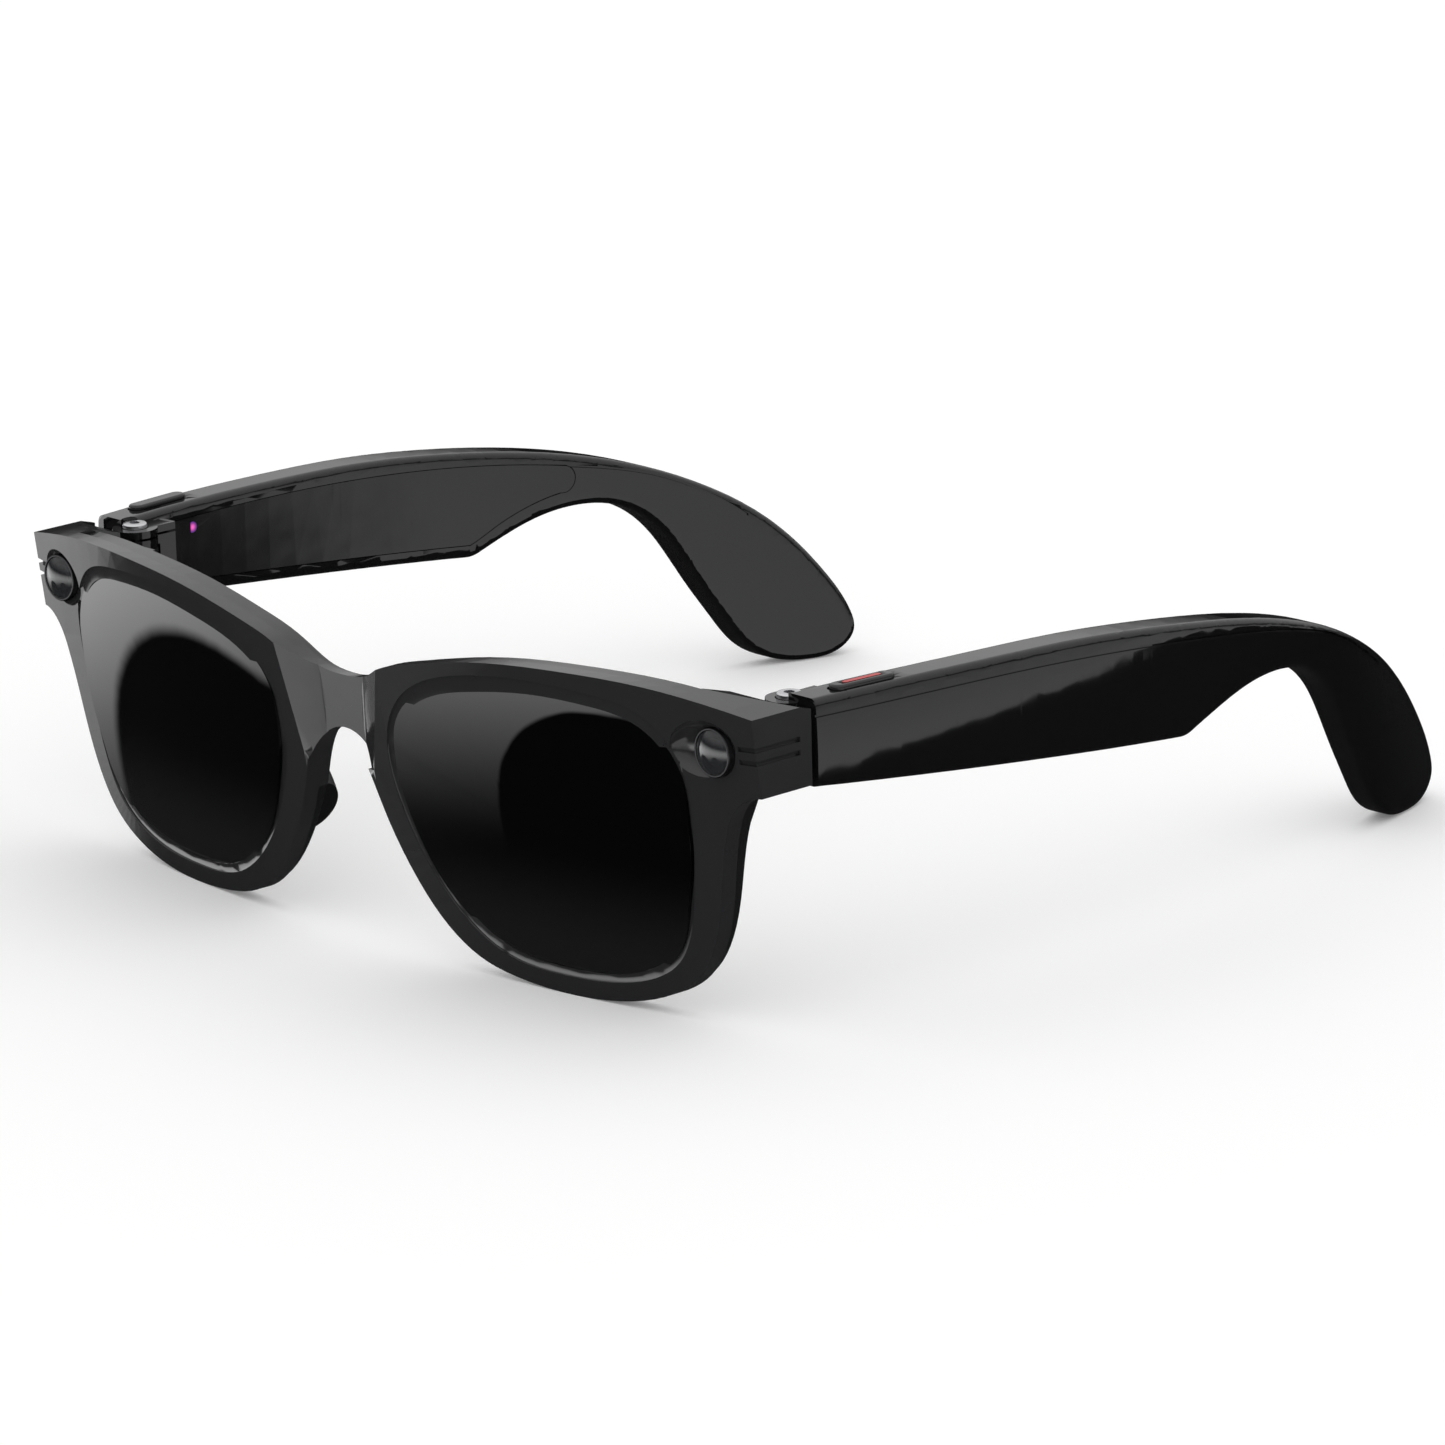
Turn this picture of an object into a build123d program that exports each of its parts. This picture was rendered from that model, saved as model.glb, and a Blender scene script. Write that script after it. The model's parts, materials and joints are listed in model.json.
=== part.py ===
from build123d import *
import math
import os

os.makedirs("parts", exist_ok=True)

# Camera glasses, open, resting on the two rim bottoms and the two temple tips.
# +X is the wearer's left, -Y is the way the wearer looks, +Z is up, z = 0 is the table.
# The shapes are drawn with y = 0 at the camera windows; keep() then centres them.

# ---- driving dimensions, mm ----
HALF_WIDTH = 73.0          # middle plane to the side of an end piece
CENTRE_Y = 68.84           # half way from the bridge to the temple tips
BRIDGE_Y = -8.1            # front of the bridge at the height of the brow corner
FLAT_HALF = 2.0            # half of the flat middle part of the front
WRAP_RADIUS = 262.0        # radius the two sides of the front wrap back on
CORNER_Z = 43.7            # brow height at the end pieces
END_Z0 = 32.9              # underside of the end pieces
END_BACK = 12.2            # back of the end pieces
FRONT_SLOPE = 0.137        # how far the front face leans forwards per mm of height
BACK_SLOPE = 0.085         # the same for the back face, so the rims thin downwards
SHELL = 2.5                # depth of the front shell
BROW_DEPTH = 5.6           # depth of the whole front at the brow
LENS_SET = 0.6             # how far the lens sits behind the front face
LENS_THICK = 1.8
LENS_LIP = 1.0             # how far the rims lap over the lens edge
FLEX_DEPTH = 4.2           # how far the flexible circuit sits behind the front face

CAM_X = 66.5               # camera axis
CAM_Z = 38.4
CAM_RADIUS = 2.9           # domed window
CAM_DOME = 0.7             # how far the window bulges
CAM_Y = 0.7                # front of the window's rim

HINGE_X = 66.5             # hinge axis
HINGE_Y = 14.6
KNUCKLE_RADIUS = 3.2
KNUCKLE_Z = (35.0, 40.2)   # frame knuckle between the two lugs of the temple
LUG_TOP_Z = 43.0
LUG_LOW_Z = 32.8
SCREW_RADIUS = 0.8
RUN = 0.06                 # running clearance of the hinge screw
GAP = 0.35                 # clearance between parts that turn past each other

TEMPLE_Y = 13.2            # front end of a temple
BOW_Y = 62.0               # where the temples are widest apart
BOW_X = 75.9               # outer face there
BOW_FRONT = 430.0          # radius of the outer face ahead of that place
BOW_REAR = 236.0           # radius behind it
TEMPLE_THICK = 6.0
TIP_THICK = 4.6
WALL = 1.2

BUTTON_X = 71.5
BUTTON_Y = 22.8
BUTTON_LONG = 10.2
BUTTON_WIDE = 2.4
BUTTON_RISE = 0.7
BUTTON_TRAVEL = 0.5

# ---- outlines ----
# half outline of the front, seen from the front: nose, rim, then up to the end piece
NOSE_AND_RIM = [(0, 30.3), (3.4, 29.3), (5.4, 27.2), (6.6, 24.6), (8.5, 19.6), (12.4, 12.2),
                (16.8, 6.6), (22.6, 2.5), (30, 0.6), (38, 0), (46.5, 0.5), (54, 2.4), (59.6, 5.8),
                (62.7, 10.4), (64.8, 17), (66.1, 23.5), (67.2, 27.6)]
RIM_TO_END = [(67.2, 27.6), (67.9, 29.5), (69.5, 31.6), (HALF_WIDTH, END_Z0)]
BROW = [(HALF_WIDTH, CORNER_Z), (65.5, 45.1), (58, 46), (51, 46.3), (43, 46.2), (34, 45.7),
        (25, 44.5), (16, 42.6), (11, 41.1), (7.5, 39.4), (4.3, 38.2), (0, 37.8)]
LENS = [(12.9, 30), (14.3, 34.8), (18.8, 38.2), (28, 40.8), (38, 42.1), (47.5, 42), (55.6, 40.2),
        (59.9, 35.6), (60.9, 27), (59.6, 17.5), (56.2, 8.9), (49, 4.8), (38, 3.7), (28, 5),
        (20.3, 10.4), (15.1, 19)]
# outer line of the sunk band round a lens, wider at the nose and along the brow
BAND = [(10.7, 30.9), (12.3, 35.2), (15.9, 39), (21, 41.5), (29.5, 43.4), (38, 44.1), (48, 43.8),
        (57, 41.6), (61.2, 36.4), (62.1, 27), (60.8, 17), (57.3, 7.9), (49.4, 3.7), (38, 2.6),
        (27.4, 3.9), (19.2, 9.5), (13.2, 18.6)]
BAND_DEPTH = 0.3
# bridge facets: half width of the middle facet and of both facets, and the depth of the middle one
FACETS = {26.0: (3.9, 7.2, 1.7), 45.0: (4.9, 11.3, 3.1)}
BRIDGE_PAD = 4.1           # depth of the front shell behind the facets
# side view of a temple, y and z
TEMPLE_TOP = [(TEMPLE_Y, 44.1), (30, 44.1), (45, 43.8), (60, 43.2), (72, 42.1), (84, 40.5),
              (96, 38.3), (106, 35.7), (115, 32.5), (123, 28.7), (130, 24.3), (136, 19),
              (141, 13), (144.6, 7)]
TEMPLE_UNDER = [(145.2, 3.6), (143, 1), (138, 0), (132.8, 0.7), (128.2, 3.2), (124.5, 7.8), (121, 13),
                (117.8, 18.2), (114.8, 22.6), (111.4, 26), (106.5, 28.7), (100, 29.8), (93, 29.2),
                (86, 27.2), (80.5, 25.2)]


def keep(shape, name):
    """Move a finished piece to the shared frame and write it."""
    shape = Pos(0, -CENTRE_Y, 0) * shape
    shape.label = name
    export_step(shape, "parts/" + name + ".step")
    return shape


def mirrored(shape):
    return mirror(shape, about=Plane.YZ)


def front_y(x, z=CORNER_Z):
    """Depth of the front face at a place on it."""
    reach = max(abs(x) - FLAT_HALF, 0)
    wrap = WRAP_RADIUS - math.sqrt(WRAP_RADIUS ** 2 - reach ** 2)
    return BRIDGE_Y + wrap + FRONT_SLOPE * (CORNER_Z - z)


def behind(depth, slope=FRONT_SLOPE):
    """Everything behind the wrapped front face moved back by depth."""
    low, high, far = -6.0, 56.0, 60.0
    y0 = BRIDGE_Y + depth + slope * (CORNER_Z - low)
    end = 80.0

    def wrap(x):
        return y0 + WRAP_RADIUS - math.sqrt(WRAP_RADIUS ** 2 - (x - FLAT_HALF) ** 2)

    middle = (FLAT_HALF + end) / 2
    edges = [
        Line((-FLAT_HALF, y0), (FLAT_HALF, y0)),
        ThreePointArc((FLAT_HALF, y0), (middle, wrap(middle)), (end, wrap(end))),
        Line((end, wrap(end)), (end, far)),
        Line((end, far), (-end, far)),
        Line((-end, far), (-end, wrap(end))),
        ThreePointArc((-end, wrap(end)), (-middle, wrap(middle)), (-FLAT_HALF, y0)),
    ]
    face = Pos(0, 0, low) * make_face(edges)
    lean = Vector(0, -slope, 1)
    return extrude(face, amount=(high - low) * lean.length, dir=lean)


def upright(face, y0=-20.0, y1=40.0):
    """Extrude a drawing of the front view from y0 to y1."""
    return extrude(Pos(0, y0, 0) * (Plane.XZ * face), amount=-(y1 - y0))


def pushed(edge, amount, count, closed=False):
    """The curve drawn through count places of an edge, each moved to its right by amount."""
    steps = count if closed else count - 1
    places = []
    for i in range(count):
        tangent = edge.tangent_at(i / steps)
        places.append(edge.position_at(i / steps) + Vector(tangent.Y, -tangent.X) * amount)
    return Spline(*places, periodic=closed)


def across(points):
    """Spline through the mirror images of the points and then the points, which start at x = 0."""
    return Spline(*[(-x, z) for x, z in reversed(points[1:])], *points)


rim_edge = across(NOSE_AND_RIM)
brow_edge = across(BROW[::-1])
lens_edge = Spline(*LENS, periodic=True)


def closed_band(curve, below, above, *through):
    """Two curves that run from side to side, joined at both ends through the same points."""
    right = [below @ 1, *through, above @ 1]
    left = [below @ 0, *[(-x, z) for x, z in through], above @ 0]
    return make_face([below, curve(*right), above, curve(*left)])


def front_face():
    corner = Spline(*RIM_TO_END)
    other = mirror(corner, about=Plane.YZ)
    sides = [Line((x, END_Z0), (x, CORNER_Z)) for x in (HALF_WIDTH, -HALF_WIDTH)]
    return make_face([rim_edge, corner, sides[0], brow_edge, sides[1], other])


def rim_face(inset):
    """The front without its end pieces, drawn smaller by inset."""
    rim = pushed(rim_edge, -inset, 49)
    brow = pushed(brow_edge, inset, 31)
    return closed_band(Polyline, rim, brow, (69, END_Z0), (69, CORNER_Z - 1.5))


def lens_face(grow=0.0):
    if not grow:
        return make_face([lens_edge])
    return make_face([pushed(lens_edge, -grow, 32, closed=True)])


def both(shape):
    return shape + mirrored(shape)


def block(x0, x1, y0, y1, z0, z1):
    return Pos((x0 + x1) / 2, (y0 + y1) / 2, (z0 + z1) / 2) * Box(x1 - x0, y1 - y0, z1 - z0)


def upright_cylinder(radius, z0, z1, x=HINGE_X, y=HINGE_Y):
    return Pos(x, y, (z0 + z1) / 2) * Cylinder(radius, z1 - z0)


def camera_cylinder(radius, y0, y1):
    return Pos(CAM_X, (y0 + y1) / 2, CAM_Z) * Rot(90, 0, 0) * Cylinder(radius, y1 - y0)


def soften(shape, edges, radius, kind=fillet):
    """Round or bevel edges, a little less where the full size does not fit."""
    for size in (radius, radius * 0.7, radius * 0.4):
        try:
            done = kind(edges, size)
        except Exception:
            continue
        if done.is_valid and done.volume > 0.5 * shape.volume:
            return done
    return shape


# ---- front shell: fascia with the two end boxes that hold the cameras ----
outline = front_face()
front_solid = upright(outline)
fascia = front_solid & (behind(0) - behind(SHELL))
end_box = block(58, HALF_WIDTH, 0, END_BACK, END_Z0, CORNER_Z + 3) & behind(0) & front_solid
hollow = block(50, HALF_WIDTH - 1.5, 0, END_BACK + 1, END_Z0 + 1.4, CORNER_Z - 1.5) & behind(SHELL)
inboard = block(50, 62.0, -20, 40, 20, 60) & behind(SHELL)
end_box = end_box - hollow - inboard
front_shell = fascia + both(end_box)
bridge_pad = front_solid & block(-9, 9, -20, 20, 20, 60) & (behind(SHELL - 0.1) - behind(BRIDGE_PAD))
front_shell = front_shell + bridge_pad
window_cut = upright(lens_face())
lens_pocket = upright(lens_face(LENS_LIP)) & behind(LENS_SET)
front_shell = front_shell - both(window_cut) - both(lens_pocket)
band_cut = upright(make_face([Spline(*BAND, periodic=True)])) - behind(BAND_DEPTH)
front_shell = front_shell - both(band_cut)


def facet_slice(z):
    """Level outline of everything that the three bridge facets leave off."""
    inner, outer, depth = FACETS[z]
    side_y, middle_y = front_y(outer, z), front_y(0, z) + depth
    points = [(-outer - 2, side_y - 3), (-outer, side_y), (-inner, middle_y), (inner, middle_y),
              (outer, side_y), (outer + 2, side_y - 3)]
    return Pos(0, 0, z) * make_face([Polyline(*points, points[0])])


saddle = loft([facet_slice(z) for z in FACETS])
front_shell = front_shell - saddle

# scooped dish, turret bore and the two trim grooves of each end piece
dish = Pos(CAM_X, -0.9, CAM_Z) * scale(Sphere(1), by=(6.3, 3.0, 4.5))
bore = camera_cylinder(3.35, -8, 9)
core = behind(0.5) & block(60, HALF_WIDTH - 0.5, -20, 40, 20, 60)
grooves = [block(70.4, 74, -5, 10.2, z - 0.35, z + 0.35) - core for z in (CORNER_Z - 4.2, CORNER_Z - 6.0)]
# the top of the end box steps down behind the brow, round the hinge
step = block(50, 69.2, 8.3, 20, 42, 60) + block(50, 72.4, 11.5, 20, 42, 60)
step = step + upright_cylinder(3.2, 42, 60, 69.2, 11.5)
# and slopes down to it
slope = make_face([Polyline((3.4, 45.6), (13, 42.9), (13, 60), (3.4, 60), (3.4, 45.6))])
slope = extrude(Pos(52, 0, 0) * (Plane.YZ * slope), amount=30)
for cut in [dish, bore, step, slope] + grooves:
    front_shell = front_shell - both(cut)

# ---- rear shell: rim backs, end plugs and the frame knuckles of the hinges ----
rear_face = rim_face(0.45)
rear_shell = upright(rear_face) & (behind(SHELL) - behind(BROW_DEPTH, BACK_SLOPE))
rear_shell = rear_shell - both(block(61.6, 80, -20, 40, END_Z0 - 1.0, 60) + slope) - bridge_pad
plug = block(60.5, HALF_WIDTH - 1.7, 7.7, END_BACK - 1.3, END_Z0 + 1.6, CORNER_Z - 1.7)
arm = block(57.5, 62.6, 3, END_BACK - 1.3, END_Z0 + 1.6, CORNER_Z - 1.7) & behind(SHELL) & front_solid
arm = arm - (upright(lens_face(LENS_LIP)))
knuckle = upright_cylinder(KNUCKLE_RADIUS, *KNUCKLE_Z)
web = block(HINGE_X - 2.9, HINGE_X + 2.5, END_BACK - 1.5, HINGE_Y, *KNUCKLE_Z)
relief = upright_cylinder(KNUCKLE_RADIUS + GAP, KNUCKLE_Z[1] + 0.01, 50)
relief = relief + upright_cylinder(KNUCKLE_RADIUS + GAP, 28, KNUCKLE_Z[0] - 0.01)
end_unit = ((plug + arm) - relief) + knuckle + web
rear_shell = rear_shell + both(end_unit)
bush_radius = SCREW_RADIUS + RUN + 0.5
rear_shell = rear_shell - both(window_cut) - both(upright_cylinder(bush_radius, 20, 60))
front_shell = front_shell - both(relief)


# ---- flexible circuit under the brow that joins the two ends ----
band_face = closed_band(Line, pushed(brow_edge, 0.9, 31), pushed(brow_edge, 2.1, 31))
band = upright(band_face) & block(-60, 60, -20, 20, 20, 60)
brow_flex = band & (behind(FLEX_DEPTH) - behind(FLEX_DEPTH + 0.2))
rear_shell = rear_shell - (band & (behind(0) - behind(FLEX_DEPTH + 0.25)))

keep(front_shell, "front_shell")
keep(rear_shell, "rear_shell")

# ---- lenses ----
lens = upright(lens_face(LENS_LIP - 0.1)) & (behind(LENS_SET + 0.02) - behind(LENS_SET + LENS_THICK))
keep(lens, "lens_left")
keep(mirrored(lens), "lens_right")

keep(brow_flex, "brow_flex")

# ---- nose pads, rounded, on the rim backs beside the nose ----
pad = Pos(11.6, -1.4, 17.5) * Rot(0, 24, 0) * scale(Sphere(1), by=(3.5, 4.3, 9.6))
pad = pad & behind(BROW_DEPTH, BACK_SLOPE) & upright(rim_face(0.6))
keep(pad, "nose_pad_left")
keep(mirrored(pad), "nose_pad_right")

# ---- cameras ----
bezel = camera_cylinder(3.3, CAM_Y - 0.1, 6.2)
bezel = bezel - camera_cylinder(CAM_RADIUS, -1, CAM_Y + 1.3) - camera_cylinder(2.1, 1, 7)
bezel = soften(bezel, bezel.edges().group_by(Axis.Y)[0].filter_by(GeomType.CIRCLE), 0.15)
dome_radius = (CAM_RADIUS ** 2 + CAM_DOME ** 2) / (2 * CAM_DOME)
dome = Pos(CAM_X, CAM_Y + dome_radius - CAM_DOME, CAM_Z) * Sphere(dome_radius)
dome = dome & camera_cylinder(CAM_RADIUS, -2, CAM_Y + 0.01)
window = camera_cylinder(CAM_RADIUS, CAM_Y, CAM_Y + 1.2) + dome
barrel = camera_cylinder(2.05, CAM_Y + 1.3, 6.1) - camera_cylinder(1.1, 1, 2.7)
module = block(CAM_X - 2.7, CAM_X + 2.4, 6.3, 7.6, CAM_Z - 3, CAM_Z + 3)
for side, turn in (("left", lambda shape: shape), ("right", mirrored)):
    keep(turn(bezel), "camera_bezel_" + side)
    keep(turn(window), "camera_window_" + side)
    keep(turn(barrel), "camera_barrel_" + side)
    keep(turn(module), "camera_module_" + side)

# ---- hinge bushes, pressed into the frame knuckles ----
bush = upright_cylinder(bush_radius, *KNUCKLE_Z) - upright_cylinder(SCREW_RADIUS + RUN, 30, 50)
keep(both(bush), "hinge_bushes")


# ---- temples ----
def outer_x(y):
    radius = BOW_FRONT if y < BOW_Y else BOW_REAR
    return BOW_X - radius + math.sqrt(radius ** 2 - (y - BOW_Y) ** 2)


def inboard_of(depth=None, shift=0.0):
    """Everything on the wearer's side of the temple's outer face moved in by depth,
    or, with no depth, of its inner face moved in by shift."""
    start, end, mid = 8.0, 152.0, (BOW_Y + 152.0) / 2
    if depth is not None:
        def outer(y, r):
            return BOW_X - r + math.sqrt((r - depth) ** 2 - (y - BOW_Y) ** 2)

        front = [(outer(y, BOW_FRONT), y) for y in (start, (start + BOW_Y) / 2, BOW_Y)]
        rear = [(outer(y, BOW_REAR), y) for y in (BOW_Y, mid, end)]
    else:
        def inner(y, r, thick):
            return BOW_X - r - shift + math.sqrt((r - thick) ** 2 - (y - BOW_Y) ** 2)

        front = [(inner(y, BOW_FRONT, TEMPLE_THICK), y) for y in (start, (start + BOW_Y) / 2, BOW_Y)]
        half_way = (2 * TEMPLE_THICK + TIP_THICK) / 3
        thins = ((BOW_Y, TEMPLE_THICK), (mid, half_way), (end, TIP_THICK))
        rear = [(inner(y, BOW_REAR, thick), y) for y, thick in thins]
    edges = [
        ThreePointArc(*front),
        ThreePointArc(*rear),
        Line(rear[-1], (20, end)),
        Line((20, end), (20, start)),
        Line((20, start), front[0]),
    ]
    return extrude(Pos(0, 0, -5) * make_face(edges), amount=60)


def sideways(face, x0=40.0, x1=90.0):
    """Extrude a drawing of the side view from x0 to x1."""
    return extrude(Pos(x0, 0, 0) * (Plane.YZ * face), amount=x1 - x0)


def temple_face():
    heel = TEMPLE_UNDER[-1]
    edges = [
        Spline(*TEMPLE_TOP, *TEMPLE_UNDER),
        Line(heel, (TEMPLE_Y, 32.3)),
        Line((TEMPLE_Y, 32.3), TEMPLE_TOP[0]),
    ]
    face = make_face(edges)
    corner = face.vertices().sort_by_distance((heel[0], heel[1], 0))[0]
    return fillet(corner, 5)


temple_outline = temple_face()
temple = sideways(temple_outline) & (inboard_of(0) - inboard_of())
long_edges = [e for e in temple.edges() if e.bounding_box().size.Y > 3]
upper = [e for e in long_edges if e.center().Z > 41]
temple = soften(temple, upper, 1.0)
rest_edges = [e for e in temple.edges() if e.bounding_box().size.Y > 3 and e.center().Z < 38]
temple = soften(temple, rest_edges, 0.9)

# front end: two lugs on the hinge axis and the block that ties them to the temple
lug_block = block(HINGE_X - 1.6, 70.5, 17.0, 20.6, LUG_LOW_Z, LUG_TOP_Z)
upper_lug = upright_cylinder(KNUCKLE_RADIUS, KNUCKLE_Z[1] + 0.15, LUG_TOP_Z)
upper_lug = upper_lug + block(HINGE_X - 1.6, 70.5, HINGE_Y, 20, KNUCKLE_Z[1] + 0.15, LUG_TOP_Z)
lower_lug = upright_cylinder(KNUCKLE_RADIUS, LUG_LOW_Z, KNUCKLE_Z[0] - 0.15)
lower_lug = lower_lug + block(HINGE_X - 1.6, 70.5, HINGE_Y, 20, LUG_LOW_Z, KNUCKLE_Z[0] - 0.15)
lugs = lug_block + upper_lug + lower_lug
knuckle_room = upright_cylinder(KNUCKLE_RADIUS + GAP, KNUCKLE_Z[0] - 0.15, KNUCKLE_Z[1] + 0.15)
screw_holes = upright_cylinder(SCREW_RADIUS + 0.1, 38, 50) + upright_cylinder(SCREW_RADIUS, 30, 38)
counterbore = upright_cylinder(1.9, LUG_TOP_Z - 0.6, 50)

# parting lines along both faces
LINE = [(TEMPLE_Y - 1, 42.0), (27, 41.9), (41, 41.7), (55, 41.2), (70, 40.1), (87, 38.1), (103, 35.3),
        (114, 32.2), (121, 28.9), (128, 24.2)]
line_low = [(y, z - 0.35) for y, z in LINE]
line_band = sideways(make_face([
    Spline(*LINE), Line(LINE[-1], line_low[-1]), Spline(*line_low), Line(line_low[0], LINE[0])]))
line_cuts = (line_band - inboard_of(0.3)) + (line_band & inboard_of(shift=-0.3))

# inner cover with its seat, and the room behind it
COVER_TOP = [(22.5, 41.9), (41, 41.7), (55, 41.2), (70, 40.1), (84, 38.5), (97, 36.3)]
COVER_LOW = [(96.2, 32.4), (90, 31.2), (84, 29.1), (79.6, 27.3)]


def cover_face(inset=0.0):
    front, low, end = 22.5 + inset, inset, -inset
    top = Spline((front, 41.9 - inset), *[(y, z - inset) for y, z in COVER_TOP[1:-1]],
                 (COVER_TOP[-1][0] + end, COVER_TOP[-1][1] - inset))
    heel = Spline((COVER_LOW[0][0] + end, COVER_LOW[0][1] + low), *[(y, z + low) for y, z in COVER_LOW[1:]],
                  tangents=[(-1, -0.1), (-1, -0.3)])
    return make_face([
        top,
        ThreePointArc(top @ 1, (98.8 - inset, 34.2), heel @ 0),
        heel,
        Polyline(heel @ 1, (front, 33.2 + inset), top @ 0),
    ])


cover = sideways(cover_face()) & (inboard_of(shift=-WALL) - inboard_of(shift=-0.02))
cover_seat = sideways(cover_face(-0.12)) & inboard_of(shift=-WALL - 0.03)
room = sideways(cover_face(1.2)) & inboard_of(WALL)
front_room = block(60, 80, 18.8, 27, 36, 41.6) & (inboard_of(WALL) - inboard_of(shift=-WALL - 0.03))

# button recess, stem slot and sound slits
yaw = -math.degrees(math.atan((BOW_Y - BUTTON_Y) / BOW_FRONT))
button_place = Pos(BUTTON_X, BUTTON_Y, 0) * Rot(0, 0, 90 + yaw)
TOP_Z = 44.1


def button_slot(long, wide, z0, z1):
    return button_place * Pos(0, 0, z0) * extrude(SlotOverall(long, wide), amount=z1 - z0)


def button_box(long, wide, z0, z1):
    return button_place * Pos(0, 0, (z0 + z1) / 2) * Box(long, wide, z1 - z0)


recess = button_slot(BUTTON_LONG + 0.6, BUTTON_WIDE + 0.6, TOP_Z - 0.9, 50)
stem_hole = button_box(6.6, 1.9, 41, 50)
slits = [block(70.9, 73.1, y - 0.45, y + 0.45, 20, 33) for y in (84.2, 85.8, 87.4, 89.0)]

temple = temple + lugs
cuts = [knuckle_room, screw_holes, counterbore, line_cuts, cover_seat, room, front_room]
for cut in cuts + [recess, stem_hole] + slits:
    temple = temple - cut

# screw: socket head, plain shank through the upper lug and knuckle, thread in the lower lug
screw = upright_cylinder(SCREW_RADIUS, LUG_LOW_Z + 0.2, LUG_TOP_Z - 0.6)
screw_head = upright_cylinder(1.75, LUG_TOP_Z - 0.6, LUG_TOP_Z + 0.7)
screw_head = soften(screw_head, screw_head.edges().group_by(Axis.Z)[-1], 0.25)
socket = Pos(HINGE_X, HINGE_Y, LUG_TOP_Z - 0.1) * extrude(RegularPolygon(0.8, 6), amount=2)
screw = screw + screw_head - socket

# inside each temple
battery = Pos(72.65, 62, 34.9) * Rot(-5.5, 0, 0) * Box(2.4, 30, 7.4)
battery = soften(battery, battery.edges().filter_by(Axis.X), 0.8)
board_place = Pos(71.6, 35.5, 37.2) * Rot(0, 0, -3.4)
board = board_place * Box(0.8, 20, 5.4)
for y, z, long, tall in ((-5.5, 0.2, 5.0, 4.2), (1.5, -0.6, 4.0, 3.0), (6.6, 0.5, 2.6, 2.0)):
    board = board + board_place * Pos(0.75, y, z) * Box(0.8, long, tall)
speaker_place = Pos(71.75, 86.8, 34.45) * Rot(0, 0, 6.3)
speaker = speaker_place * Box(2.3, 10, 2.8) - speaker_place * Pos(0, 0, -1.4) * Box(1.5, 8, 1)
mesh_strip = Pos(71.8, 86.5, 31.55) * Rot(0, 0, 6.3) * Rot(17, 0, 0) * Box(2.2, 6.4, 0.25)
switch = button_box(4.0, 2.6, 38.4, 40.0) + button_slot(1.8, 1.2, 40.0, 40.35)

# button: cap in the recess, stem and retaining foot under the top wall
cap = button_slot(BUTTON_LONG, BUTTON_WIDE, TOP_Z - 0.9 + BUTTON_TRAVEL + 0.1, TOP_Z + BUTTON_RISE)
cap = soften(cap, cap.edges().group_by(Axis.Z)[-1], 0.4)
button = cap + button_box(6.0, 1.3, 41.1, TOP_Z - 0.2) + button_box(6.0, 2.0, 40.9, 41.35)
stripe = button_slot(6.2, 0.8, TOP_Z + BUTTON_RISE - 0.3, TOP_Z + BUTTON_RISE + 0.03)


def inner_x(y):
    return outer_x(y) - TEMPLE_THICK


def face_pin(radius, y, z, depth, proud):
    x = inner_x(y)
    return Pos(x + (depth - proud) / 2, y, z) * Rot(0, 90, 0) * Cylinder(radius, depth + proud)


contacts = [face_pin(1.0, y, 37.4, 1.1, 0.05) for y in (30.0, 33.4, 36.8)]
light = face_pin(0.8, 26.6, 40.4, 1.15, 0.03)
cover_left = cover
for pin in contacts:
    cover_left = cover_left - pin
cover_right = mirrored(cover - light)

for side, turn in (("left", lambda shape: shape), ("right", mirrored)):
    keep(turn(temple), "temple_shell_" + side)
    keep(turn(screw), "hinge_screw_" + side)
    keep(turn(battery), "battery_" + side)
    keep(turn(board), "circuit_board_" + side)
    keep(turn(speaker), "speaker_" + side)
    keep(turn(mesh_strip), "speaker_mesh_" + side)
    keep(turn(switch), "button_switch_" + side)
keep(cover_left, "temple_cover_left")
keep(cover_right, "temple_cover_right")
keep(contacts[0] + contacts[1] + contacts[2], "charging_contacts")
keep(mirrored(light), "status_light")
keep(button - stripe, "button_left")
keep(stripe, "button_stripe")
keep(mirrored(button), "button_right")
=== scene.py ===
import json
import math

import bmesh
import bpy
from mathutils import Matrix, Vector

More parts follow.
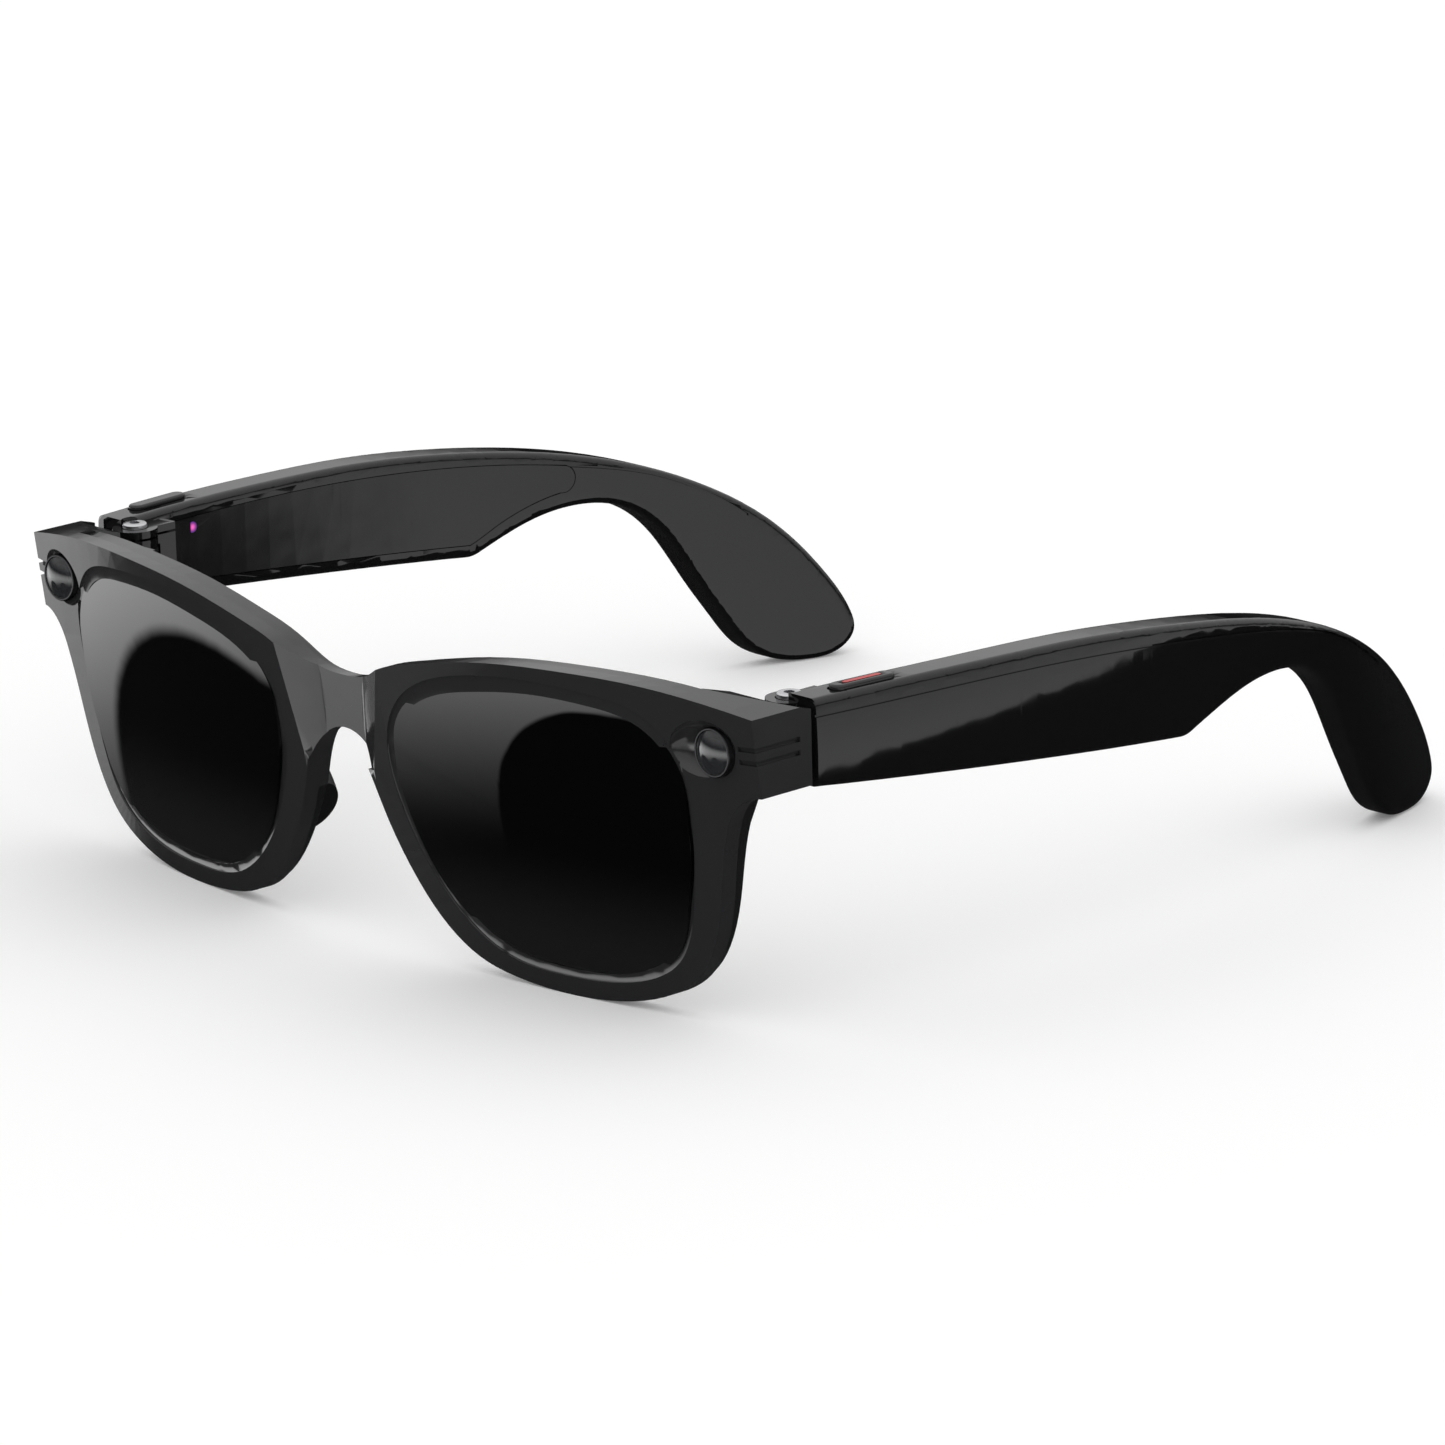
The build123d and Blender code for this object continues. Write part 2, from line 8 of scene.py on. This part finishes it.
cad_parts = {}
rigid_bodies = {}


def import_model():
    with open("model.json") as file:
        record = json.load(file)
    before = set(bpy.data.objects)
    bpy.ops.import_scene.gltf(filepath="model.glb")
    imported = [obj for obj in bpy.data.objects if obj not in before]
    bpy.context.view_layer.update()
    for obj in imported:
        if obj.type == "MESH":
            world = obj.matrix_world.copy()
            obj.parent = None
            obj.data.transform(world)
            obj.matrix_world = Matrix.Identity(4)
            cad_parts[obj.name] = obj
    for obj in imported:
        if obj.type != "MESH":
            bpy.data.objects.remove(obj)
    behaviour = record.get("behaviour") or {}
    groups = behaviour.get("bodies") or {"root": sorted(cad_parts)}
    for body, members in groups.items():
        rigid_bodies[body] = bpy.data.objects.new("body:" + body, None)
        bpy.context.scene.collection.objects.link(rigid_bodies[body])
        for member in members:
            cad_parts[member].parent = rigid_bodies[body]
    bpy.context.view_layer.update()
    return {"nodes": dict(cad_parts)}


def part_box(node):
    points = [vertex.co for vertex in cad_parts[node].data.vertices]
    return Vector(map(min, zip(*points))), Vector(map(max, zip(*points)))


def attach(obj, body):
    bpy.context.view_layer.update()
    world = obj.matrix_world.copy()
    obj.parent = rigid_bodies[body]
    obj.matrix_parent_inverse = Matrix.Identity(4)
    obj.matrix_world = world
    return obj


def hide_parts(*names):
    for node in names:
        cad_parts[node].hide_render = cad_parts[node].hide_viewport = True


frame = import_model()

parts = frame["nodes"]
MM = 0.001


# ---- camera ----
# Stands ahead of the wearer's left end piece and a little above it, with a long lens, so that the
# front and both temples are seen at once and hardly foreshortened.
STAND = (0.7930, -0.7433, 0.3215)
eye = bpy.data.cameras.new("studio_camera")
eye.lens = 200.65
eye.sensor_width = 36.0
eye.clip_start = 0.01
eye.clip_end = 50.0
stand = bpy.data.objects.new("studio_camera", eye)
across = (0.68645, 0.72679, -0.02347)
upward = (-0.18145, 0.20246, 0.96234)
towards = (0.70417, -0.65634, 0.27086)
turn = Matrix((across, upward, towards)).transposed()
stand.matrix_world = Matrix.LocRotScale(STAND, turn, None)
bpy.context.collection.objects.link(stand)
bpy.context.scene.camera = stand
bpy.context.scene.view_settings.view_transform = "Standard"


# ---- studio ----
# A plain pale table under a soft white room. What the gloss mirrors below eye level is darker, with
# two round dark cards ahead, one for each lens, and a soft box beyond them, as in a product studio.
class Wire:
    """A socket in a node tree. Sums on it add Math nodes."""

    def __init__(self, tree, socket=None):
        self.tree = tree
        self.socket = socket

    def add(self, kind, settings=None, sockets=None, out=0):
        """A new node with its settings, then its sockets' values or links. Gives one output."""
        node = self.tree.nodes.new(kind)
        for name, value in (settings or {}).items():
            setattr(node, name, value)
        for name, value in (sockets or {}).items():
            if isinstance(value, Wire):
                self.tree.links.new(value.socket, node.inputs[name])
            else:
                node.inputs[name].default_value = value
        return Wire(self.tree, node.outputs[out]) if len(node.outputs) else None

    def sum(self, operation, *values):
        return self.add("ShaderNodeMath", {"operation": operation}, dict(enumerate(values)))

    def __add__(self, other):
        return self.sum("ADD", self, other)

    __radd__ = __add__

    def __sub__(self, other):
        return self.sum("SUBTRACT", self, other)

    def __rsub__(self, other):
        return self.sum("SUBTRACT", other, self)

    def __mul__(self, other):
        return self.sum("MULTIPLY", self, other)

    __rmul__ = __mul__

    def __truediv__(self, other):
        return self.sum("DIVIDE", self, other)

    def __pow__(self, other):
        return self.sum("POWER", self, other)

    def wave(self):
        """The sine of this, in radians."""
        return self.sum("SINE", self)

    def rise(self, low, high):
        """0 below low, 1 above high, and smooth between."""
        return self.add("ShaderNodeMapRange", {"interpolation_type": "SMOOTHSTEP"},
                        {"Value": self, "From Min": low, "From Max": high})

    def split(self):
        node = self.add("ShaderNodeSeparateXYZ", {}, {0: self}).socket.node
        return [Wire(self.tree, node.outputs[i]) for i in range(3)]

    def mix(self, first, second):
        """The first colour where this is 0 and the second where it is 1."""
        return self.add("ShaderNodeMix", {"data_type": "RGBA"}, {0: self, 6: first, 7: second}, out=2)

    def grain(self, scale, detail=2.0, rough=0.5):
        """Noise at this place, scale in waves per metre."""
        return self.add("ShaderNodeTexNoise", {}, {"Vector": self, "Scale": scale, "Detail": detail,
                                                   "Roughness": rough})


NEAR_CARD, NEAR_EDGE = (0.420, 0.755, 0.504), (-0.9835, -0.9825)
FAR_CARD, FAR_EDGE = (0.755, 0.319, 0.573), (-0.961, -0.957)
BOX_STRENGTH = 3.0
room = bpy.data.worlds.new("studio_room")
room.use_nodes = True
room.node_tree.nodes.clear()
wire = Wire(room.node_tree)
way_x, way_y, way_z = wire.add("ShaderNodeTexCoord").split()
ceiling = way_z.rise(-0.03, 0.25) * 0.80 + way_z.rise(0.25, 0.8) * 0.25
near_edge, far_edge = (
    (way_x * card[0] + way_y * card[1] + way_z * card[2]).rise(*edge)
    for card, edge in ((NEAR_CARD, NEAR_EDGE), (FAR_CARD, FAR_EDGE)))
box_height = way_z.rise(-0.50, -0.22) ** 1.4 * (1 - way_z.rise(-0.20, 0.0))
box_ahead = near_edge * far_edge * box_height * BOX_STRENGTH
box_ahead = box_ahead * (1 - way_y.rise(-0.2, 0.25)) + 0.02
box_side = (way_z - way_y * 0.31).rise(-0.458, -0.452) * (0.55 + 0.5 * (way_z * -1).rise(0.05, 0.30))
to_side = way_x.rise(0.05, 0.25)
below = box_ahead * (1 - to_side) + box_side * to_side
level = below * (1 - way_z.rise(-0.10, 0.02)) + ceiling
seen = wire.add("ShaderNodeLightPath")
level = level * (1 - seen) + seen * 1.0
glow = wire.add("ShaderNodeBackground", {}, {"Color": (1, 1, 1, 1), "Strength": level})
wire.add("ShaderNodeOutputWorld", {}, {"Surface": glow})
bpy.context.scene.world = room

plate = bmesh.new()
bmesh.ops.create_grid(plate, x_segments=1, y_segments=1, size=6.0)
table_mesh = bpy.data.meshes.new("studio_table")
plate.to_mesh(table_mesh)
plate.free()
table = bpy.data.objects.new("studio_table", table_mesh)
bpy.context.collection.objects.link(table)
table.visible_glossy = False
top_coat = bpy.data.materials.new("studio_table")
top_coat.use_nodes = True
matt = top_coat.node_tree.nodes["Principled BSDF"].inputs
matt["Base Color"].default_value = (0.93, 0.93, 0.93, 1)
matt["Roughness"].default_value = 0.9
matt["Emission Color"].default_value = (1, 1, 1, 1)
matt["Emission Strength"].default_value = 0.12
table_mesh.materials.append(top_coat)


# ---- front shell ----
# The glossy fascia with the two end boxes. Moulded in black nylon and hand polished: almost a
# mirror, with a faint ripple from the mould, wiped-on haze, and hairline marks from handling.
class Finish:
    """A finish: its principled shader, with fixed values, and wires for what varies over it."""

    def __init__(self, name, colour, roughness, **fixed):
        self.material = bpy.data.materials.new(name)
        self.material.use_nodes = True
        tree = self.material.node_tree
        tree.nodes.clear()
        self.wire = Wire(tree)
        self.place = self.wire.add("ShaderNodeTexCoord", out=3)
        self.shader = tree.nodes.new("ShaderNodeBsdfPrincipled")
        self.wire.add("ShaderNodeOutputMaterial", {}, {"Surface": Wire(tree, self.shader.outputs[0])})
        self.shader.inputs["Base Color"].default_value = (*colour, 1)
        self.shader.inputs["Roughness"].default_value = roughness
        for socket, value in fixed.items():
            self.shader.inputs[socket.replace("_", " ")].default_value = value

    def feed(self, socket, wire):
        self.wire.tree.links.new(wire.socket, self.shader.inputs[socket])

    def raise_by(self, height, depth):
        """A relief of this depth in metres where height runs from 0 to 1."""
        self.feed("Normal", self.wire.add("ShaderNodeBump", {}, {"Height": height, "Distance": depth}))

    def on(self, *names):
        for name in names:
            slots = parts[name].data.materials
            slots.clear()
            slots.append(self.material)


def hairlines(place, scale, turn):
    """Thin straight rub marks: 1 on a mark, 0 off it."""
    laid = place.add("ShaderNodeMapping", {}, {"Vector": place, "Rotation": turn, "Scale": (1, 1, 0.03)})
    return laid.grain(scale, 3.0, 0.6).rise(0.66, 0.74)


def polished(name, shade, gloss):
    """Black nylon, polished. Shade is its grey and gloss its roughness."""
    coat = Finish(name, (shade, shade, shade * 1.04), gloss, IOR=1.5)
    haze = coat.place.grain(55.0, 4.0, 0.6)
    rub = hairlines(coat.place, 2600.0, (0.3, 0.8, 0.2))
    coat.feed("Roughness", haze * gloss * 0.8 + gloss * 0.55 + rub * 0.06)
    tint = coat.place.grain(30.0, 2.0)
    coat.feed("Base Color", tint.mix((shade * 0.9, shade * 0.9, shade * 0.93, 1),
                                     (shade * 1.1, shade * 1.1, shade * 1.16, 1)))
    coat.raise_by(coat.place.grain(190.0, 1.0), 0.000012)
    return coat


def merged(node):
    """A bmesh copy of a node of the frame with its loose triangles joined."""
    copy = bmesh.new()
    copy.from_mesh(parts[node].data)
    bmesh.ops.remove_doubles(copy, verts=copy.verts, dist=2e-6)
    return copy


def piece(mesh, name, coat, body, *stands_for, sharp=17.0):
    """A finished piece on its body, smooth but for edges sharper than that many degrees."""
    data = bpy.data.meshes.new(name)
    mesh.to_mesh(data)
    mesh.free()
    data.polygons.foreach_set("use_smooth", [True] * len(data.polygons))
    data.set_sharp_from_angle(angle=math.radians(sharp))
    data.materials.append(coat.material)
    made = bpy.data.objects.new(name, data)
    bpy.context.collection.objects.link(made)
    level = made.modifiers.new("flat_faces_lead", "WEIGHTED_NORMAL")
    level.keep_sharp = True
    level.weight = 100
    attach(made, body)
    if stands_for:
        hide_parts(*stands_for)
    return made


front_black = polished("front_black", 0.022, 0.11)
fascia = piece(merged("front_shell"), "fascia", front_black, "front", "front_shell")


# ---- rear shell ----
# The rim backs, end plugs and hinge knuckles, moulded in one piece in the same nylon and glued to
# the fascia along the rims. It is left a little duller where it faces the wearer.
back_black = polished("back_black", 0.012, 0.17)
rim_backs = piece(merged("rear_shell"), "rim_backs", back_black, "front", "rear_shell")


# ---- lenses ----
# Nylon lenses that follow the wrap of the fascia and bulge a little up and down, tinted black all
# through with a slightly paler foot, hard coated, and sprung into the pocket of the fascia.
LENS_LINE = [(12.9, 30), (14.3, 34.8), (18.8, 38.2), (28, 40.8), (38, 42.1), (47.5, 42), (55.6, 40.2),
             (59.9, 35.6), (60.9, 27), (59.6, 17.5), (56.2, 8.9), (49, 4.8), (38, 3.7), (28, 5),
             (20.3, 10.4), (15.1, 19)]
LENS_MIDDLE = Vector((38.0, 0.0, 22.5))
LENS_THICK = 1.8
LENS_SET = 0.62
LENS_AHEAD = 0.85
LENS_BULGE = 200.0
LENS_GROWTH = 1.033
RINGS = (0.93, 0.9, 0.86, 0.82, 0.76, 0.66, 0.5, 0.2)
BRIDGE_Y, BROW_Z = -76.94, 43.7
FLAT_HALF, WRAP_RADIUS, FRONT_SLOPE = 2.0, 262.0, 0.137


def drawn(points, between):
    """A closed smooth line through places of the front view, in mm, as a bmesh loop."""
    line = bpy.data.curves.new("drawn_line", "CURVE")
    line.dimensions = "3D"
    bend = line.splines.new("BEZIER")
    bend.bezier_points.add(len(points) - 1)
    for knot, (x, z) in zip(bend.bezier_points, points):
        knot.co = (x, 0, z)
        knot.handle_left_type = knot.handle_right_type = "AUTO"
    bend.use_cyclic_u = True
    bend.resolution_u = between
    holder = bpy.data.objects.new("drawn_line", line)
    outline = bpy.data.meshes.new_from_object(holder)
    loop = bmesh.new()
    loop.from_mesh(outline)
    bmesh.ops.remove_doubles(loop, verts=loop.verts, dist=1e-4)
    for old, store in ((holder, bpy.data.objects), (line, bpy.data.curves), (outline, bpy.data.meshes)):
        store.remove(old)
    return loop


def lens_front(x, z):
    """Depth in mm of the front of a lens, which follows the fascia and bulges up and down."""
    fascia_y = BRIDGE_Y + (x - FLAT_HALF) ** 2 / (2 * WRAP_RADIUS) + FRONT_SLOPE * (BROW_Z - z)
    return fascia_y + LENS_SET + (z - LENS_MIDDLE.z) ** 2 / (2 * LENS_BULGE) - LENS_AHEAD


def ground(sign):
    """A lens blank: rings of faces from its edge to its middle, then its thickness."""
    blank = drawn(LENS_LINE, 5)
    for corner in blank.verts:
        corner.co = LENS_MIDDLE + (corner.co - LENS_MIDDLE) * LENS_GROWTH
    rim = blank.edges[:]
    for share in RINGS:
        made = bmesh.ops.extrude_edge_only(blank, edges=rim)["geom"]
        inner = {part for part in made if isinstance(part, bmesh.types.BMVert)}
        for corner in inner:
            corner.co = LENS_MIDDLE + (corner.co - LENS_MIDDLE) * share
        rim = [part for part in made if isinstance(part, bmesh.types.BMEdge) and set(part.verts) <= inner]
    bmesh.ops.pointmerge(blank, verts=list(inner), merge_co=LENS_MIDDLE)
    for corner in blank.verts:
        x, z = corner.co.x, corner.co.z
        corner.co = Vector((sign * x, lens_front(x, z), z)) * MM
    bmesh.ops.recalc_face_normals(blank, faces=blank.faces)
    back = bmesh.ops.extrude_face_region(blank, geom=blank.faces[:], use_keep_orig=True)["geom"]
    bmesh.ops.translate(blank, verts=[part for part in back if isinstance(part, bmesh.types.BMVert)],
                        vec=(0, LENS_THICK * MM, 0))
    bmesh.ops.recalc_face_normals(blank, faces=blank.faces)
    return blank


lens_tint = Finish("lens_tint", (0.002, 0.002, 0.002), 0.02, IOR=1.53)
_, _, lens_height = lens_tint.place.split()
foot = 1 - lens_height.rise(0.004, 0.022)
lens_tint.feed("Base Color", foot.mix((0.0008, 0.0008, 0.0009, 1), (0.011, 0.011, 0.0115, 1)))
smear = lens_tint.place.grain(70.0, 3.0)
lens_tint.feed("Roughness", smear.rise(0.35, 0.8) * 0.012 + 0.004)
for side, sign in (("left", 1), ("right", -1)):
    lens = piece(ground(sign), "ground_lens_" + side, lens_tint, "front", "lens_" + side)


# ---- nose pads ----
# Moulded rubber pads on the rim backs, slightly matt, with a fine leathery grain from the mould.
pad_rubber = Finish("pad_rubber", (0.008, 0.008, 0.008), 0.42, IOR=1.45)
pore = pad_rubber.place.grain(2600.0, 2.0)
pad_rubber.feed("Roughness", pad_rubber.place.grain(400.0) * 0.2 + 0.3)
pad_rubber.raise_by(pore, 0.00002)
pad_rubber.on("nose_pad_left", "nose_pad_right")


# ---- cameras ----
# A camera in each end box, facing straight ahead: an anodised turret ring, a domed cover glass, and
# behind it the stepped black barrel with its small coated front lens.
CAMERA_X, CAMERA_Z = 66.5, 38.4
ring_metal = Finish("ring_metal", (0.018, 0.018, 0.020), 0.25, Metallic=0.7)
spun = ring_metal.place.grain(5000.0, 2.0)
ring_metal.feed("Roughness", spun * 0.15 + 0.16)
ring_metal.on("camera_bezel_left", "camera_bezel_right", "camera_barrel_left", "camera_barrel_right")

cover_glass = Finish("cover_glass", (0.05, 0.052, 0.056), 0.02, IOR=1.5, Transmission_Weight=0.6)
cover_glass.feed("Roughness", cover_glass.place.grain(300.0, 3.0) * 0.02 + 0.005)
cover_glass.on("camera_window_left", "camera_window_right")

lens_metal = Finish("lens_metal", (0.05, 0.05, 0.055), 0.28, Metallic=0.6)
lens_metal.feed("Roughness", lens_metal.place.grain(4000.0) * 0.2 + 0.18)
coated = Finish("coated", (0.012, 0.012, 0.02), 0.03, Coat_Weight=1.0, IOR=1.7)
bloom = coated.place.grain(900.0, 2.0)
coated.feed("Base Color", bloom.mix((0.02, 0.01, 0.03, 1), (0.01, 0.02, 0.05, 1)))
BEHIND_WINDOW = 0.25
STACK = [(2.0, 0.0), (1.95, -0.25), (1.6, -0.25), (1.5, 0.1), (1.15, 0.1), (1.1, -0.15), (0.85, -0.15),
         (0.8, 0.05), (0.0, 0.05)]
BEAD = [(0.0, -0.42), (0.25, -0.40), (0.5, -0.33), (0.7, -0.2), (0.8, -0.05), (0.8, 0.04), (0.0, 0.04)]


def turned(profile, axis_x, axis_z, y0):
    """A part turned about a camera's axis, from radii and depths in mm."""
    lathe = bmesh.new()
    rings = [lathe.verts.new((radius * MM, depth * MM, 0)) for radius, depth in profile]
    lines = [lathe.edges.new(pair) for pair in zip(rings, rings[1:])]
    bmesh.ops.spin(lathe, geom=rings + lines, cent=(0, 0, 0), axis=(0, 1, 0), angle=math.tau,
                   steps=48, use_merge=True)
    bmesh.ops.remove_doubles(lathe, verts=lathe.verts, dist=1e-6)
    bmesh.ops.recalc_face_normals(lathe, faces=lathe.faces)
    bmesh.ops.translate(lathe, verts=lathe.verts, vec=(axis_x * MM, y0 * MM, axis_z * MM))
    return lathe


for side, sign in (("left", 1), ("right", -1)):
    _, window_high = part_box("camera_window_" + side)
    y0 = window_high.y / MM + BEHIND_WINDOW
    stack = turned(STACK, sign * CAMERA_X, CAMERA_Z, y0)
    piece(stack, "lens_stack_" + side, lens_metal, "front")
    bead = turned(BEAD, sign * CAMERA_X, CAMERA_Z, y0)
    piece(bead, "front_lens_" + side, coated, "front")


# ---- temples ----
# Hollow nylon arms, polished blacker than the front, with a slightly crowned outer face, a parting
# line under the top edge and a cover closing the inside.
CROWN = 0.0100
HIGHEST, CROWN_REACH = 36.0, 90.0
WIDEST_X, WIDEST_Y = 75.9, -6.8
BOW_AHEAD, BOW_BEHIND = 430.0, 236.0
SHELL = 2.5


def cut_up(mesh, axis, low, high, step):
    """Level cuts through a mesh at every step between two places, in mm."""
    normal = [float(axis == i) for i in range(3)]
    for i in range(int((high - low) / step) + 1):
        spot = [(low + i * step) * MM * n for n in normal]
        bmesh.ops.bisect_plane(mesh, geom=mesh.verts[:] + mesh.edges[:] + mesh.faces[:], dist=1e-7,
                               plane_co=spot, plane_no=normal)


temple_black = polished("temple_black", 0.006, 0.05)
cover_black = polished("cover_black", 0.006, 0.11)
for side, sign in (("left", 1), ("right", -1)):
    arm = merged("temple_shell_" + side)
    cut_up(arm, 1, -54, 70, 4)
    cut_up(arm, 2, 2, 43, 1.5)
    for corner in arm.verts:
        y, z = corner.co.y / MM, corner.co.z / MM
        radius = BOW_AHEAD if y < WIDEST_Y else BOW_BEHIND
        bow = WIDEST_X - radius + math.sqrt(radius ** 2 - (y - WIDEST_Y) ** 2)
        near = max(0.0, 1 - (bow - abs(corner.co.x) / MM) / SHELL)
        ridge = HIGHEST - max(0.0, y - 10) * 0.10 - max(0.0, y - 35) * 0.62
        corner.co.x -= sign * CROWN / 2 * near * min((z - ridge) ** 2, CROWN_REACH) * MM
    shell = piece(arm, "arm_" + side, temple_black, "temple_" + side, "temple_shell_" + side)
    lid = piece(merged("temple_cover_" + side), "arm_cover_" + side, cover_black, "temple_" + side,
                "temple_cover_" + side)


# ---- hinges ----
# Socket-head steel screws, the left and right alike, in brass bushes pressed into the knuckles.
steel = Finish("steel", (0.60, 0.60, 0.62), 0.2, Metallic=1.0)
turned_marks = steel.place.grain(3000.0, 2.0)
steel.feed("Roughness", turned_marks * 0.2 + 0.12)
steel.on("hinge_screw_left", "hinge_screw_right")
brass = Finish("brass", (0.70, 0.52, 0.24), 0.25, Metallic=1.0)
brass.feed("Roughness", brass.place.grain(2500.0) * 0.25 + 0.15)
brass.on("hinge_bushes")


# ---- buttons ----
# Oblong keys on top of the temples, moulded in black. The left one carries a red record stripe.
key_black = polished("key_black", 0.010, 0.16)
for side in ("left", "right"):
    cap = piece(merged("button_" + side), "key_" + side, key_black, "button_" + side, "button_" + side)
red = Finish("red", (0.50, 0.006, 0.008), 0.25)
dye = red.place.grain(1500.0, 2.0)
red.feed("Base Color", dye.mix((0.44, 0.004, 0.006, 1), (0.60, 0.010, 0.012, 1)))
red.feed("Roughness", red.place.grain(700.0) * 0.15 + 0.18)
red.on("button_stripe")


# ---- status light ----
# A light pipe through the right cover that glows violet, brightest at its middle.
pipe = Finish("pipe", (0.03, 0.01, 0.05), 0.15, Emission_Strength=1.0)
low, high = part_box("status_light")
middle = (low + high) / 2
_, along, height = pipe.place.split()
far = (((along - middle.y) * (along - middle.y) + (height - middle.z) * (height - middle.z)) ** 0.5) / MM
core = 1 - far.rise(0.0, 0.8)
pipe.feed("Emission Color", core.mix((0.06, 0.0, 0.16, 1), (1.0, 0.12, 0.55, 1)))
pipe.on("status_light")


# ---- contacts and speaker mesh ----
# Two gilt charging contacts and a magnet face on the left cover, and woven steel mesh over each
# speaker slit.
gilt = Finish("gilt", (0.85, 0.60, 0.24), 0.2, Metallic=1.0)
gilt.feed("Roughness", gilt.place.grain(2200.0, 3.0) * 0.22 + 0.12)
gilt.on("charging_contacts")
mesh_steel = Finish("mesh_steel", (0.09, 0.09, 0.09), 0.35, Metallic=0.9)
WIRES = 12000.0
mesh_x, mesh_y, _ = mesh_steel.place.split()
weave = (mesh_x * WIRES).wave() * (mesh_y * WIRES).wave()
mesh_steel.feed("Base Color", weave.rise(-0.2, 0.5).mix((0.01, 0.01, 0.01, 1), (0.16, 0.16, 0.16, 1)))
mesh_steel.on("speaker_mesh_left", "speaker_mesh_right")


# ---- inside ----
# Cells in foil, boards with green mask, speakers, switches, camera modules and the amber flexible
# circuit under the brow: bought parts clipped into the shells.
foil = Finish("foil", (0.55, 0.55, 0.57), 0.3, Metallic=1.0)
foil.feed("Roughness", foil.place.grain(600.0, 4.0, 0.7) * 0.3 + 0.15)
foil.raise_by(foil.place.grain(500.0, 3.0), 0.00005)
foil.on("battery_left", "battery_right")
board = Finish("board", (0.01, 0.07, 0.03), 0.4)
tracks = board.place.grain(1800.0, 1.0).rise(0.48, 0.52)
board.feed("Base Color", tracks.mix((0.006, 0.05, 0.02, 1), (0.015, 0.10, 0.04, 1)))
board.on("circuit_board_left", "circuit_board_right", "camera_module_left", "camera_module_right")
speaker_black = Finish("speaker_black", (0.012, 0.012, 0.012), 0.4)
speaker_black.feed("Roughness", speaker_black.place.grain(1500.0) * 0.3 + 0.3)
speaker_black.on("speaker_left", "speaker_right", "button_switch_left", "button_switch_right")
film = Finish("film", (0.35, 0.14, 0.03), 0.3)
_, _, film_height = film.place.split()
film_lines = (film_height * 9000.0).wave()
film.feed("Base Color", film_lines.rise(-0.2, 0.4).mix((0.40, 0.16, 0.03, 1), (0.26, 0.09, 0.02, 1)))
film.on("brow_flex")
